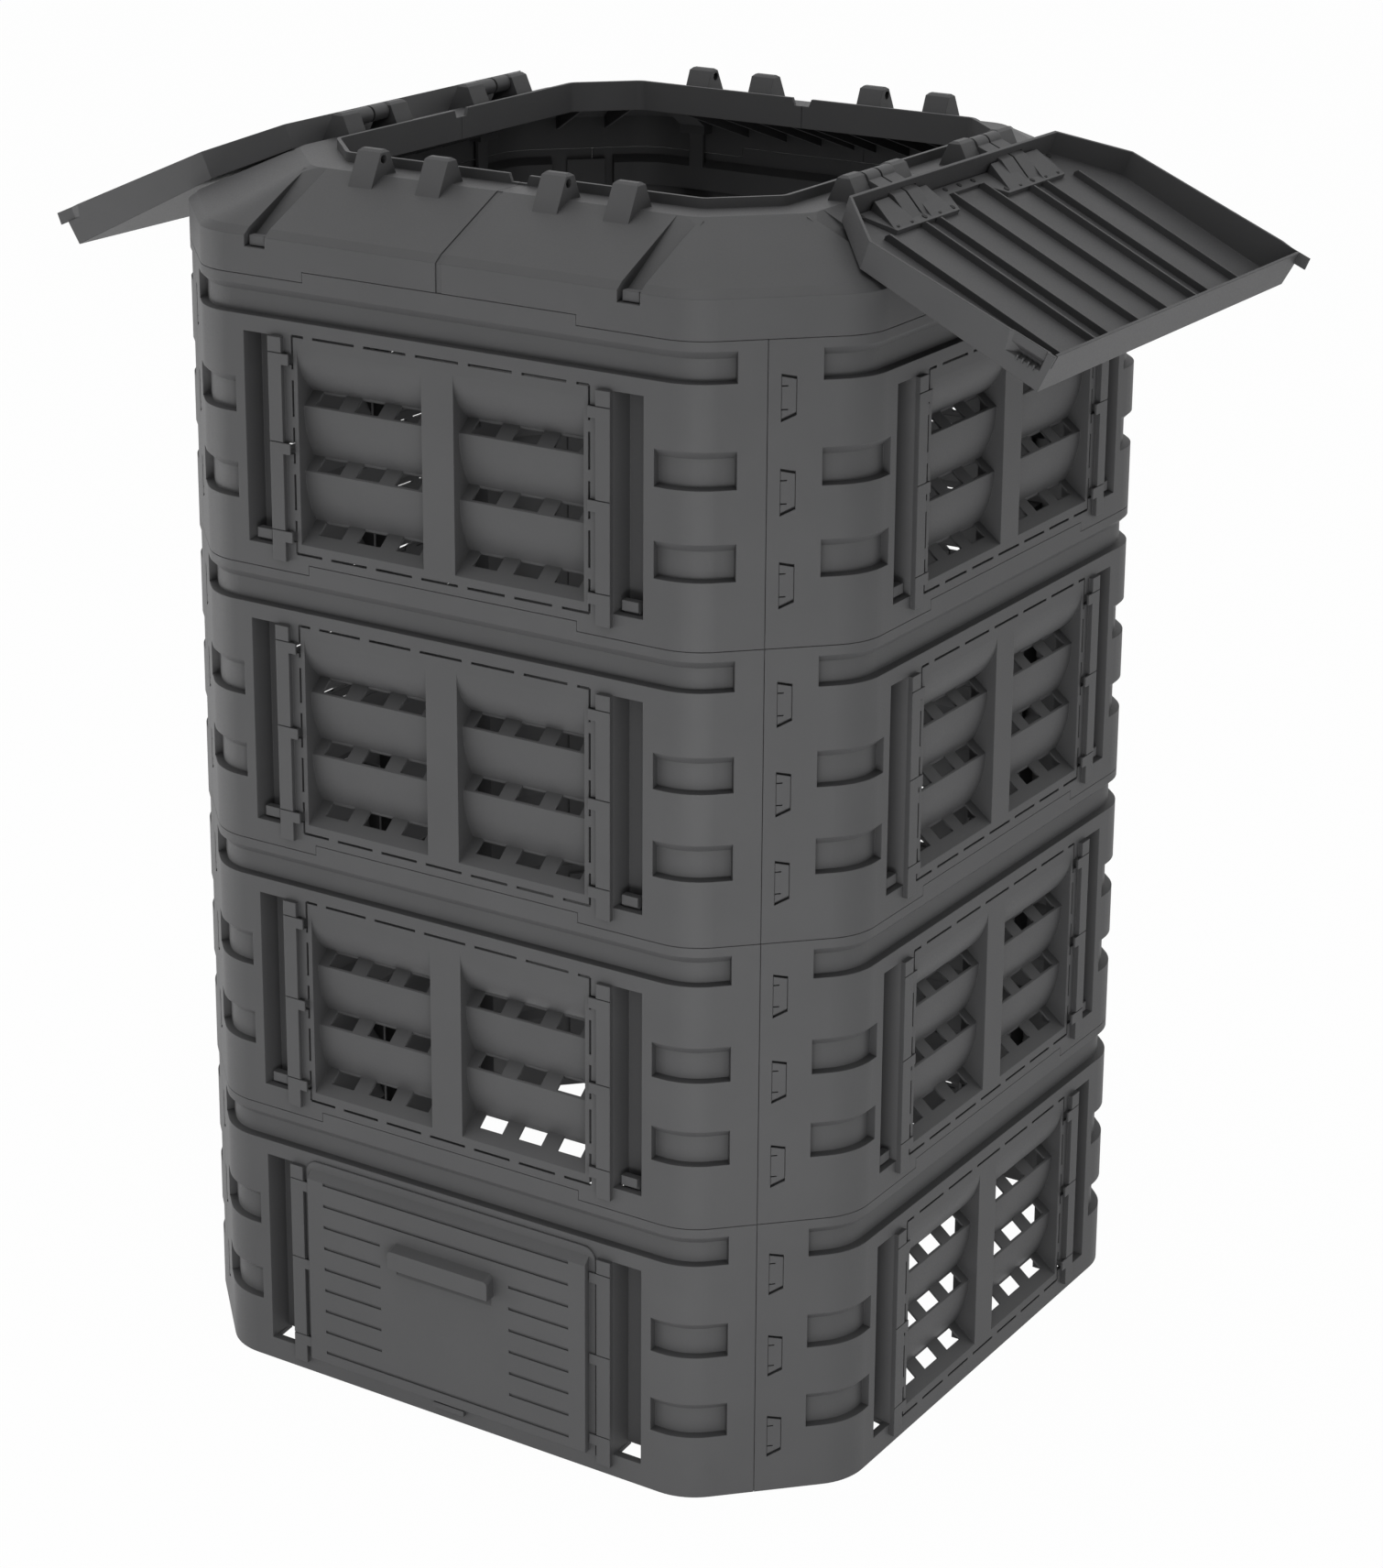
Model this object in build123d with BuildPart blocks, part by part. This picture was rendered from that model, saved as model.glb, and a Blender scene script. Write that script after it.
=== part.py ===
"""Modular compost bin in mm: four tiers of clip-together wall panels, a roof
in four corner quarters, two hinged lids and a sliding door at the foot."""

import os
from math import atan2, cos, radians, sin, sqrt

from build123d import *

# Body, measured over the outer faces of the walls
body_width = 800.0
corner_cut = 120.0
corner_round = 65.0
tier_count = 4
tier_height = 292.0
wall = 4.0
seam_gap = 0.6
fit_gap = 0.4

# Upright seam in each corner facet, with a tongue and latches behind it
seam_shift = 12.0
tongue_reach = 30.0
tongue_root = 14.0
tongue_margin = 12.0
latch_width = 14.5
latch_height = 45.0
latch_offset = 12.5
latch_low = 60.0
latch_high_margin = 55.0
latch_count = 3
latch_rim = 3.0
latch_slant = 6.0
latch_top_gap = 2.5
latch_slit = 1.0
latch_slit_length = 6.0
latch_slit_pitch = 22.0

# Recessed band under each top edge, and the pads on the corners
pocket_depth = 8.0
pocket_reach = 45.0
ledge_draft = 1.5
band_margin = 10.0
band_height = 30.0
pad_on_face = 37.0
pad_low = 66.0
pad_pitch = 87.0
pad_height = 36.0
pad_count = 2

# Channels for the clips that tie each tier to the one above
channel_margin = 28.0
channel_width = 33.5
channel_low = 24.0
channel_headroom = 16.0
channel_depth = 21.0
channel_draft = 14.0
clip_width = 18.0
clip_rise = 38.0
clip_head = 10.0
clip_gap = 1.5
sill_width_front = 27.0
sill_width_back = 22.0
sill_rise = 6.0

# Rails and hooks that guide the door
rail_width = 16.0
rail_low = 11.0
rail_proud = 5.0
rail_step = 1.0
hook_reach = 9.0
hook_height = 11.0
hook_low = 36.5
hook_headroom = 21.5
hook_count = 3

# Window outline, marked by break-out slits, with louvres and vents inside it
slit_width = 2.4
slit_gap = 11.0
slit_count_across = 5
slit_count_up = 3
slit_leg_top = 14.0
slit_leg_foot = 31.0
slit_leg_side = 33.0
outline_margin = 10.0
outline_low = 20.0
outline_headroom = 14.0
window_margin = 6.0
window_foot = 10.0
window_headroom = 12.0
mullion_half = 18.5
louvre_rows = 3
louvre_depth = 24.0
louvre_ledge = 20.0
louvre_skin = 3.5
louvre_recess = 9.0
vent_count = 3
vent_bar = 19.0
vent_margin = 12.75
vent_depth = 13.0

# Stepped joint between tiers
step_margin = 14.0
step_height = 10.0

# Sliding door
flange_lap = 7.0
flange_thick = 2.2
flange_round = 14.0
slide_gap = 0.3
door_margin = 2.0
door_proud = 10.0
door_bevel = 8.0
door_skin = 3.0
groove_rows = 9
groove_full_rows = (0, 1, 8)
groove_head = 9.5
groove_foot = 12.5
groove_side = 20.0
groove_inner = 80.0
groove_tall = 3.0
groove_deep = 1.6
grip_half = 62.0
grip_height = 24.5
grip_down = 49.0
grip_proud = 12.0
grip_slope = 4.5
grip_round = 5.0
grip_skin = 3.0
grip_frame = 4.0
grip_recess = 11.5
stop_half = 19.0
stop_height = 6.0

# Roof, with a lip round its mouth and a flat crown outside the lip
skirt_height = 38.0
fold_rise = 7.0
fold_inset = 9.0
roof_run = 140.0
crown_ledge = 40.0
crown_rise = 90.0
crown_round = 34.0
mouth_cut = 54.0
mouth_round = 12.0
lip_wall = 4.0
lip_height = 10.0
lip_drop = 22.0
notch_half_top = 12.0
notch_half_foot = 9.0
notch_floor = 2.0
seam_step_width = 7.0
seam_step_depth = 1.0
gusset_thick = 3.0
gusset_places = (14.0, 56.0, 101.0, 151.0)
corner_gusset_places = (-28.0, 28.0)
gusset_low = 22.0
roof_groove_width = 25.0
roof_groove_depth = 17.0
roof_groove_sill = 27.0
roof_groove_step = 8.0

# Hinge lugs on the roof
axis_rise = 16.0
lug_margin = 58.0
lug_pitch = 80.0
lug_width = 28.0
lug_top = 9.0
lug_front = 3.0
lug_back = 8.0
lug_foot_front = 22.0
lug_foot_back = 20.0
lug_bevel = 2.5
bore_radius = 4.4
bore_depth = 12.0

# Lids, drawn about the hinge axis
open_angle = 23.25
lid_start = 27.5
lid_meet = 3.0
lid_lap = 5.5
rim_edge = 12.8
rim_at_hinge = 13.0
rim_at_front = 26.0
lid_skin = 3.0
lid_draft = 5.0
rib_places = (31.0, 95.0, 123.0, 192.0)
rib_thick = 2.6
rib_height = 7.5
scoop_length = 42.0
scoop_margin = 8.0
scoop_low = -8.0
scoop_rim_deep = 2.6
scoop_deep = 8.0
scoop_bend = 3.9
scoop_floor_rise = 4.0
scoop_slant_start = 14.0
scoop_slant_end = 4.0
scoop_skin = 2.5
scoop_ribs = 4
scoop_rib_thick = 1.6
tab_reach = 12.0
tab_inset = 3.5
tab_skin = 1.6
tab_slant_start = 24.0
tab_slant_end = 10.0

# Hinge strip fixed under each lid
strip_top = 7.0
strip_start = 34.0
strip_long = 70.0
strip_short = 46.0
strip_spread = 22.0
strip_slant = 18.0
knuckle_radius = 8.5
knuckle_side_gap = 1.0
knuckle_split = 3.0
arm_half_tall = 4.5
arm_run = 36.0
pin_gap = 0.4
ramp_rise = 9.5
ramp_near_shift = 11.0
ramp_far_shift = 2.0
ramp_top_width = 27.0
ramp_foot_width = 42.0

# Places that follow from the sizes above
half = body_width / 2
face_flat = half - corner_cut
facet_mid = half - corner_cut / 2
pad_inner = face_flat - pad_on_face
channel_centre = pad_inner - channel_margin
rail_outer = channel_centre - channel_width / 2
rail_inner = rail_outer - rail_width
outline_half = rail_inner - outline_margin
window_half = outline_half - window_margin
step_half = outline_half - step_margin
band_high = tier_height - band_margin
band_low = band_high - band_height
channel_high = band_low - channel_headroom
outline_high = band_low - outline_headroom
window_low = outline_low + window_foot
window_high = outline_high - window_headroom
louvre_pitch = (window_high - window_low) / louvre_rows
nose_lift = louvre_ledge * louvre_recess / louvre_depth
column_width = window_half - mullion_half
column_centre = (window_half + mullion_half) / 2
vent_width = (column_width - 2 * vent_margin - (vent_count - 1) * vent_bar) / vent_count
hook_under = flange_thick + 2 * slide_gap
flange_half = outline_half + flange_lap
flange_low = rail_low + stop_height + slide_gap
flange_high = outline_high + flange_lap
door_low = outline_low + door_margin
door_high = outline_high - door_margin
roof_base = tier_count * tier_height
skirt_top = roof_base + skirt_height
fold_level = skirt_top + fold_rise
crown_level = roof_base + crown_rise
mouth_half = half - roof_run
crown_half = mouth_half + crown_ledge
axis_half = crown_half
axis_level = crown_level + axis_rise
lug_far = mouth_half - mouth_cut - lug_margin
lug_near = lug_far - lug_pitch
knuckle_place = (lug_far + lug_near) / 2
knuckle_room = lug_pitch - lug_width
strip_outer = lug_far + strip_spread
strip_inner = lug_near - strip_slant
lid_end = axis_half - lid_meet
lid_half = mouth_half + lip_wall + lid_lap
lid_corner = 2 * mouth_half - mouth_cut + sqrt(2) * (lip_wall + lid_lap)
lid_hinge_half = lid_corner - axis_half + lid_start
lid_cut = lid_half - lid_hinge_half

front_face = Plane(origin=(0, -half, 0), x_dir=(1, 0, 0), z_dir=(0, -1, 0))
front_section = Plane(origin=(0, 0, 0), x_dir=(0, -1, 0), z_dir=(-1, 0, 0))
right_section = Plane(origin=(0, 0, 0), x_dir=(1, 0, 0), z_dir=(0, -1, 0))
corner_section = Plane(origin=(0, 0, 0), x_dir=(1, -1, 0), z_dir=(-1, -1, 0))
right_facet = Plane(origin=(facet_mid, -facet_mid, 0), x_dir=(1, 1, 0), z_dir=(0, 0, 1))
left_facet = Plane(origin=(-facet_mid, -facet_mid, 0), x_dir=(1, -1, 0), z_dir=(0, 0, 1))
right_upright = Plane(origin=right_facet.origin, x_dir=(1, 1, 0), z_dir=(1, -1, 0))
left_upright = Plane(origin=left_facet.origin, x_dir=(1, -1, 0), z_dir=(-1, -1, 0))

tilt = radians(open_angle)
axis_point = (axis_half, 0, axis_level)
lid_flat = Plane(origin=axis_point, x_dir=(cos(tilt), 0, -sin(tilt)), z_dir=(sin(tilt), 0, cos(tilt)))
lid_section = Plane(origin=axis_point, x_dir=lid_flat.x_dir, z_dir=(0, -1, 0))
lid_cross = Plane(origin=axis_point, x_dir=(0, 1, 0), z_dir=lid_flat.x_dir)


def cut_square(half_side, cut, radius):
    """A square outline with its corners cut off and the cuts rounded in."""
    flat = half_side - cut
    with BuildSketch() as outline:
        Polygon(
            (flat, -half_side),
            (half_side, -flat),
            (half_side, flat),
            (flat, half_side),
            (-flat, half_side),
            (-half_side, flat),
            (-half_side, -flat),
            (-flat, -half_side),
            align=None,
        )
        fillet(outline.vertices(), radius=radius)
    return outline.sketch


def body_plan(inset):
    """The bin's plan, drawn in evenly."""
    return cut_square(half - inset, corner_cut - inset * (2 - sqrt(2)), corner_round - inset)


def mouth_plan(outset, radius):
    """The plan of the roof's mouth, drawn out evenly."""
    return cut_square(mouth_half + outset, mouth_cut + outset * (2 - sqrt(2)), radius)


def on_facet(facet, along, inward):
    """A point in plan, along a corner facet and inward from it."""
    point = facet.from_local_coords((along, inward, 0))
    return (point.X, point.Y)


def panel_sector():
    """The share of the plan that one wall panel covers, from seam to seam."""
    start = -seam_shift + seam_gap / 2
    stop = -seam_shift - seam_gap / 2
    with BuildSketch() as sector:
        Polygon(
            on_facet(right_facet, stop, corner_cut),
            on_facet(right_facet, stop, -2 * corner_cut),
            on_facet(left_facet, start, -2 * corner_cut),
            on_facet(left_facet, start, corner_cut),
            align=None,
        )
    return sector.sketch


def pad_path(side, extra):
    """Round one corner between the facet and the face, from right to left."""
    lean = (pocket_reach + extra) / sqrt(2)
    tip = (side * (face_flat + lean), -half + lean)
    corner = (side * face_flat, -half)
    face_end = (side * (pad_inner - extra), -half)
    points = (tip, corner, face_end) if side > 0 else (face_end, corner, tip)
    with BuildLine() as path:
        FilletPolyline(*points, radius=corner_round)
    return path.line


def band_path(extra):
    """Across the face and round both of its corners, from right to left."""
    lean = (pocket_reach + extra) / sqrt(2)
    with BuildLine() as path:
        FilletPolyline(
            (face_flat + lean, -half + lean),
            (face_flat, -half),
            (-face_flat, -half),
            (-face_flat - lean, -half + lean),
            radius=corner_round,
        )
    return path.line


def upright_plane(path):
    """The upright plane across a path's start, with X outward and Y up."""
    tangent = path % 0
    return Plane(origin=path @ 0, x_dir=(-tangent.Y, tangent.X, 0), z_dir=tangent)


def pocket_section(path, low, high):
    """Section of a recess: sloping top, flat floor and a steep lower ledge."""
    with BuildSketch(upright_plane(path)) as section:
        Polygon(
            (fit_gap, high + fit_gap),
            (-pocket_depth, high - pocket_depth),
            (-pocket_depth, low + ledge_draft),
            (fit_gap, low),
            align=None,
        )
    return section.sketch


def backing_section(path, low, high):
    """Section of the skin that backs a recess inside the bin."""
    back = pocket_depth + wall
    with BuildSketch(upright_plane(path)) as section:
        Polygon(
            (-wall / 2, high + wall * (sqrt(2) - 0.5)),
            (-back, high - back + wall * sqrt(2)),
            (-back, low + ledge_draft - wall),
            (-wall / 2, low - wall),
            align=None,
        )
    return section.sketch


def slit_row(total, leg, count):
    """Places and lengths of slits in a row: a leg at each end, dashes between."""
    length = (total - 2 * leg - (count + 1) * slit_gap) / count
    first = (length - total) / 2 + leg + slit_gap
    row = [(first + step * (length + slit_gap), length) for step in range(count)]
    end = (total - leg) / 2
    return row + [(-end, leg), (end, leg)]


def louvre_section():
    """Bowed blades, each ending in a ledge that slopes out to the nose of the next."""
    with BuildSketch(front_section) as section:
        with BuildLine():
            for skin in (0, louvre_skin):
                face = half - skin
                back = face - louvre_depth
                noses = [(face, window_high)]
                for row in range(1, louvre_rows):
                    level = window_high - row * louvre_pitch
                    noses.append((face - louvre_recess, level + nose_lift))
                noses.append((face, window_low))
                for row in range(louvre_rows):
                    front, top = noses[row]
                    foot = window_high - (row + 1) * louvre_pitch + louvre_ledge
                    depth = front - back
                    drop = top - foot
                    bow = (depth**2 + drop**2) / (2 * depth)
                    middle = atan2(depth, drop)
                    ThreePointArc(
                        (front, top),
                        (front - bow * (1 - cos(middle)), top - bow * sin(middle)),
                        (back, foot),
                    )
                    Line((back, foot), noses[row + 1])
            Line((half, window_high), (half - louvre_skin, window_high))
            Line((half, window_low), (half - louvre_skin, window_low))
        make_face()
    return section.sketch


def wall_panel(on_ground, has_door):
    """One wall panel, standing at the front of the lowest tier."""
    clip_places = [(side * channel_centre, 0) for side in (-1, 1)]
    clip_depth = pocket_depth + wall / 2
    with BuildPart() as panel:
        with BuildSketch():
            add(body_plan(0))
            add(body_plan(wall), mode=Mode.SUBTRACT)
            add(panel_sector(), mode=Mode.INTERSECT)
        extrude(amount=tier_height - seam_gap)

        # Raised middle of the top edge, and the notch that takes the one below
        with BuildSketch(Plane.XY.offset(tier_height - seam_gap)):
            with Locations((0, -half + wall / 2)):
                Rectangle(2 * (step_half - seam_gap), wall)
        extrude(amount=step_height)
        if not on_ground:
            with BuildSketch():
                with Locations((0, -half + wall / 2)):
                    Rectangle(2 * step_half, wall)
            extrude(amount=step_height, mode=Mode.SUBTRACT)

        # Skins behind the band, the pads and the channels
        path = band_path(wall)
        sweep(backing_section(path, band_low, band_high), path=path)
        for side in (-1, 1):
            for row in range(pad_count):
                low = pad_low + row * pad_pitch
                path = pad_path(side, wall)
                sweep(backing_section(path, low, low + pad_height), path=path)
        channel_middle = (channel_low + channel_high) / 2
        channel_places = [(x, channel_middle) for x, _ in clip_places]
        with BuildSketch(front_face.offset(-wall / 2)):
            with Locations(*channel_places):
                Rectangle(channel_width + 2 * wall, channel_high - channel_low + 2 * wall)
        extrude(amount=wall / 2 - channel_depth - wall, taper=channel_draft)

        # Clips that stand up from the band's skin into the tier above
        with BuildSketch(Plane.XY.offset(band_low)):
            with Locations(*[(x, -half + clip_depth) for x, _ in clip_places]):
                Rectangle(clip_width, wall)
        extrude(amount=tier_height + clip_rise - band_low)
        with BuildSketch(Plane.XY.offset(tier_height + clip_rise - clip_head)):
            with Locations(*[(x, -half + clip_depth - wall / 2) for x, _ in clip_places]):
                Rectangle(clip_width, 2 * wall)
        extrude(amount=clip_head)

        # Recesses
        path = band_path(0)
        sweep(pocket_section(path, band_low, band_high), path=path, mode=Mode.SUBTRACT)
        for side in (-1, 1):
            for row in range(pad_count):
                low = pad_low + row * pad_pitch
                path = pad_path(side, 0)
                sweep(pocket_section(path, low, low + pad_height), path=path, mode=Mode.SUBTRACT)
        with BuildSketch(front_face):
            with Locations(*channel_places):
                Rectangle(channel_width, channel_high - channel_low)
        extrude(amount=-channel_depth, taper=channel_draft, mode=Mode.SUBTRACT)
        sill_front = clip_depth - wall / 2 - clip_gap
        sill_back = channel_depth + wall + fit_gap
        with BuildSketch(Plane.XY.offset(channel_low - 2 * wall)):
            with Locations(*[(x, -half) for x, _ in clip_places]):
                Polygon(
                    (-sill_width_front / 2, sill_front),
                    (sill_width_front / 2, sill_front),
                    (sill_width_back / 2, sill_back),
                    (-sill_width_back / 2, sill_back),
                    align=None,
                )
        extrude(amount=2 * wall + sill_rise, mode=Mode.SUBTRACT)

        # Door rails with their hooks
        rail_middle = (rail_outer + rail_inner) / 2
        with BuildSketch(front_face):
            with Locations(*[(side * rail_middle, (rail_low + channel_high) / 2) for side in (-1, 1)]):
                Rectangle(rail_width, channel_high - rail_low)
        extrude(amount=rail_proud)
        hook_pitch = (channel_high - hook_headroom - hook_low) / (hook_count - 1)
        hook_levels = [hook_low + row * hook_pitch for row in range(hook_count)]
        hook_middle = rail_inner - hook_reach / 2 + fit_gap
        with BuildSketch(front_face.offset(hook_under)):
            for side in (-1, 1):
                with Locations(*[(side * hook_middle, level) for level in hook_levels]):
                    Rectangle(hook_reach, hook_height)
        extrude(amount=rail_proud - hook_under)
        with BuildSketch(front_face.offset(rail_proud)):
            for side in (-1, 1):
                with Locations(*[(side * rail_middle, level + hook_height / 2) for level in hook_levels]):
                    Rectangle(rail_width, rail_step, align=(Align.CENTER, Align.MIN))
        extrude(amount=-rail_step, mode=Mode.SUBTRACT)
        hole_middle = rail_inner - hook_reach / 2 - fit_gap
        with BuildSketch(front_face):
            for side in (-1, 1):
                with Locations(*[(side * hole_middle, level) for level in hook_levels]):
                    Rectangle(hook_reach - 2 * fit_gap, hook_height)
        extrude(amount=-2 * wall, mode=Mode.SUBTRACT)

        # Latch windows at the left end
        latch_pitch = (tier_height - latch_high_margin - latch_low) / (latch_count - 1)
        latch_along = -seam_shift + latch_offset + latch_width / 2
        latch_places = [(latch_along, latch_low + row * latch_pitch) for row in range(latch_count)]
        with BuildSketch(left_upright):
            with Locations(*latch_places):
                Polygon(
                    (-latch_width / 2, -latch_height / 2),
                    (latch_width / 2, latch_slant - latch_height / 2),
                    (latch_width / 2, (latch_height - latch_slant) / 2),
                    (-latch_width / 2, latch_height / 2),
                    align=None,
                )
        extrude(amount=-2 * wall, mode=Mode.SUBTRACT)

        # Tongue and latches at the right end, behind the next panel
        edge = -seam_shift - seam_gap / 2
        back = wall + fit_gap
        with BuildSketch(right_facet.offset(tongue_margin)):
            Polygon(
                (edge - tongue_root, wall / 2),
                (edge, wall / 2),
                (edge, back),
                (tongue_reach - seam_shift, back),
                (tongue_reach - seam_shift, back + wall),
                (edge - tongue_root, back + wall),
                align=None,
            )
        extrude(amount=tier_height - 2 * tongue_margin)
        latch_side = latch_width / 2 - fit_gap
        with BuildSketch(right_upright.offset(-back - wall / 2)):
            with Locations(*latch_places):
                Polygon(
                    (-latch_side, latch_rim - latch_height / 2),
                    (latch_side, latch_rim + latch_slant - latch_height / 2),
                    (latch_side, (latch_height - latch_slant) / 2 - latch_top_gap),
                    (-latch_side, latch_height / 2 - latch_top_gap),
                    align=None,
                )
                with Locations((-latch_side, -latch_slit_pitch / 2), (-latch_side, latch_slit_pitch / 2)):
                    Rectangle(
                        latch_slit_length,
                        latch_slit,
                        align=(Align.MIN, Align.CENTER),
                        mode=Mode.SUBTRACT,
                    )
        extrude(amount=back + wall / 2 - fit_gap)

        if has_door:
            outline_middle = (outline_low + outline_high) / 2
            with BuildSketch(front_face):
                with Locations((0, outline_middle)):
                    Rectangle(2 * outline_half, outline_high - outline_low)
            extrude(amount=-2 * wall, mode=Mode.SUBTRACT)
            with BuildSketch(front_face):
                with Locations((0, rail_low + stop_height / 2)):
                    Rectangle(2 * stop_half, stop_height)
            extrude(amount=rail_proud)
        else:
            window_middle = (window_low + window_high) / 2
            columns = [(side * column_centre, window_middle) for side in (-1, 1)]
            with BuildSketch(front_face):
                with Locations(*columns):
                    Rectangle(column_width + 2 * louvre_skin, window_high - window_low)
            extrude(amount=-louvre_depth - louvre_skin)
            with BuildSketch(front_face):
                with Locations(*columns):
                    Rectangle(column_width, window_high - window_low)
            extrude(amount=-2 * louvre_depth, mode=Mode.SUBTRACT)
            for side in (-1, 1):
                start = side * column_centre
                blades = louvre_section().moved(Location((start, 0, 0)))
                extrude(blades, amount=column_width / 2, dir=(1, 0, 0), both=True)
            vent_y = -half + louvre_depth - vent_depth / 2
            for row in range(louvre_rows):
                vent_low = window_high - (row + 1) * louvre_pitch + nose_lift - louvre_skin
                with BuildSketch(Plane.XY.offset(vent_low)):
                    for side in (-1, 1):
                        with Locations((side * column_centre, vent_y)):
                            with GridLocations(vent_width + vent_bar, 0, vent_count, 1):
                                Rectangle(vent_width, vent_depth)
                extrude(amount=louvre_ledge - nose_lift + louvre_skin, mode=Mode.SUBTRACT)

            # Slits round the window, where a door opening can be broken out
            outline_height = outline_high - outline_low
            outline_middle = (outline_low + outline_high) / 2
            with BuildSketch(front_face):
                for level, leg in ((outline_low, slit_leg_foot), (outline_high, slit_leg_top)):
                    for place, length in slit_row(2 * outline_half, leg, slit_count_across):
                        with Locations((place, level)):
                            Rectangle(length, slit_width)
                for place, length in slit_row(outline_height, slit_leg_side, slit_count_up):
                    level = outline_middle + place
                    with Locations((-outline_half, level), (outline_half, level)):
                        Rectangle(slit_width, length)
            extrude(amount=-2 * wall, mode=Mode.SUBTRACT)
    return panel.part


def sliding_door():
    """The door, down on its stop."""
    face = half + door_proud
    back = half + slide_gap
    grip_high = door_high - grip_down
    grip_low = grip_high - grip_height
    recess_low = grip_low - grip_recess
    with BuildPart() as hollow:
        with BuildSketch(front_section):
            Polygon(
                (half, door_low + door_skin),
                (face - door_skin, door_low + door_skin),
                (face - door_skin, door_high - door_bevel - door_skin),
                (back + flange_thick, door_high - door_bevel),
                (half, door_high - door_bevel),
                align=None,
            )
        extrude(amount=outline_half - door_skin, both=True)
        with BuildSketch(front_face):
            with Locations((0, (recess_low + grip_high) / 2)):
                Rectangle(2 * grip_half, grip_high - recess_low + 2 * grip_frame)
        extrude(amount=door_proud, mode=Mode.SUBTRACT)

    with BuildPart() as hood:
        with BuildSketch(front_section):
            Polygon(
                (face - door_skin, grip_low),
                (face + grip_proud, grip_low),
                (face + grip_proud, grip_high - grip_slope),
                (face, grip_high),
                (face - door_skin, grip_high),
                align=None,
            )
        extrude(amount=grip_half, both=True)
        top_edges = hood.edges().filter_by(Axis.X, reverse=True).filter_by(Axis.Z, reverse=True)
        fillet(top_edges.group_by(Axis.Z)[-2], radius=grip_round)

    with BuildPart() as door:
        with BuildSketch(front_face.offset(slide_gap)):
            with Locations((0, (flange_low + flange_high) / 2)):
                Rectangle(2 * flange_half, flange_high - flange_low)
        extrude(amount=flange_thick)
        fillet(door.edges().filter_by(Axis.Y).group_by(Axis.Z)[-1], radius=flange_round)
        with BuildSketch(front_section):
            Polygon(
                (back, door_low),
                (face, door_low),
                (face, door_high - door_bevel),
                (back + flange_thick, door_high),
                (back, door_high),
                align=None,
            )
        extrude(amount=outline_half, both=True)
        add(hollow.part, mode=Mode.SUBTRACT)

        # Grooves across the front, broken in the middle beside the grip
        groove_pitch = (door_high - door_low - groove_head - groove_foot) / (groove_rows - 1)
        groove_half = outline_half - groove_side
        with BuildSketch(front_face.offset(door_proud)):
            for row in range(groove_rows):
                level = door_high - groove_head - row * groove_pitch
                if row in groove_full_rows:
                    with Locations((0, level)):
                        Rectangle(2 * groove_half, groove_tall)
                else:
                    centre = (groove_half + groove_inner) / 2
                    with Locations((-centre, level), (centre, level)):
                        Rectangle(groove_half - groove_inner, groove_tall)
        extrude(amount=-groove_deep, mode=Mode.SUBTRACT)

        # Hooded grip, open below, with a recess behind it that slopes out to the face
        add(hood.part)
        with BuildSketch(front_section):
            Polygon(
                (face, recess_low),
                (face, grip_low - grip_skin),
                (face + grip_proud - grip_skin, grip_low - grip_skin),
                (face + grip_proud - grip_skin, grip_high - grip_slope - grip_skin),
                (face, grip_high - 1.5 * grip_skin),
                (back + grip_frame, grip_high - 1.5 * grip_skin),
                (back + grip_frame, grip_low),
                align=None,
            )
        extrude(amount=grip_half - grip_skin, both=True, mode=Mode.SUBTRACT)
    return door.part


def slope_level(reach):
    """Height of the roof's slope at a distance from the bin's middle."""
    fall = (crown_level - fold_level) / (half - fold_inset - crown_half)
    return crown_level - (reach - crown_half) * fall


def roof_form(inset, sink):
    """The roof as a closed form, drawn in and lowered for the space inside."""
    with BuildPart() as form:
        with BuildSketch(Plane.XY.offset(roof_base)):
            add(body_plan(inset))
        extrude(amount=skirt_height - sink / 2)
        with BuildSketch(Plane.XY.offset(skirt_top - sink / 2)):
            add(body_plan(inset))
        with BuildSketch(Plane.XY.offset(fold_level - sink)):
            add(body_plan(fold_inset + inset))
        with BuildSketch(Plane.XY.offset(crown_level - sink)):
            add(mouth_plan(crown_ledge, crown_round))
        loft(ruled=True)
    return form.part


def facet_reach(half_side, cut):
    """Distance from the middle of a cut square to its corner facet."""
    return (2 * half_side - cut) / sqrt(2)


def gusset_outline(skirt_reach, crown_reach, lip_reach):
    """A rib's outline, just under the outer skin from the skirt to the lip."""
    with BuildSketch() as outline:
        Polygon(
            (lip_reach - lip_wall / 2, crown_level - lip_drop),
            (lip_reach - lip_wall / 2, crown_level - wall / 2),
            (crown_reach, crown_level - wall / 2),
            (skirt_reach - fold_inset - wall / 2, fold_level - wall / 2),
            (skirt_reach - wall / 2, skirt_top - wall / 2),
            (skirt_reach - wall / 2, roof_base + gusset_low),
            align=None,
        )
    return outline.sketch


def lip_notch():
    """The notch in the lip at the front, where the two lids meet."""
    with BuildPart() as notch:
        with BuildSketch(front_face):
            Polygon(
                (-notch_half_foot, crown_level + notch_floor),
                (notch_half_foot, crown_level + notch_floor),
                (notch_half_top, crown_level + lip_height),
                (-notch_half_top, crown_level + lip_height),
                align=None,
            )
        extrude(amount=mouth_half - half)
    return notch.part


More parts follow.
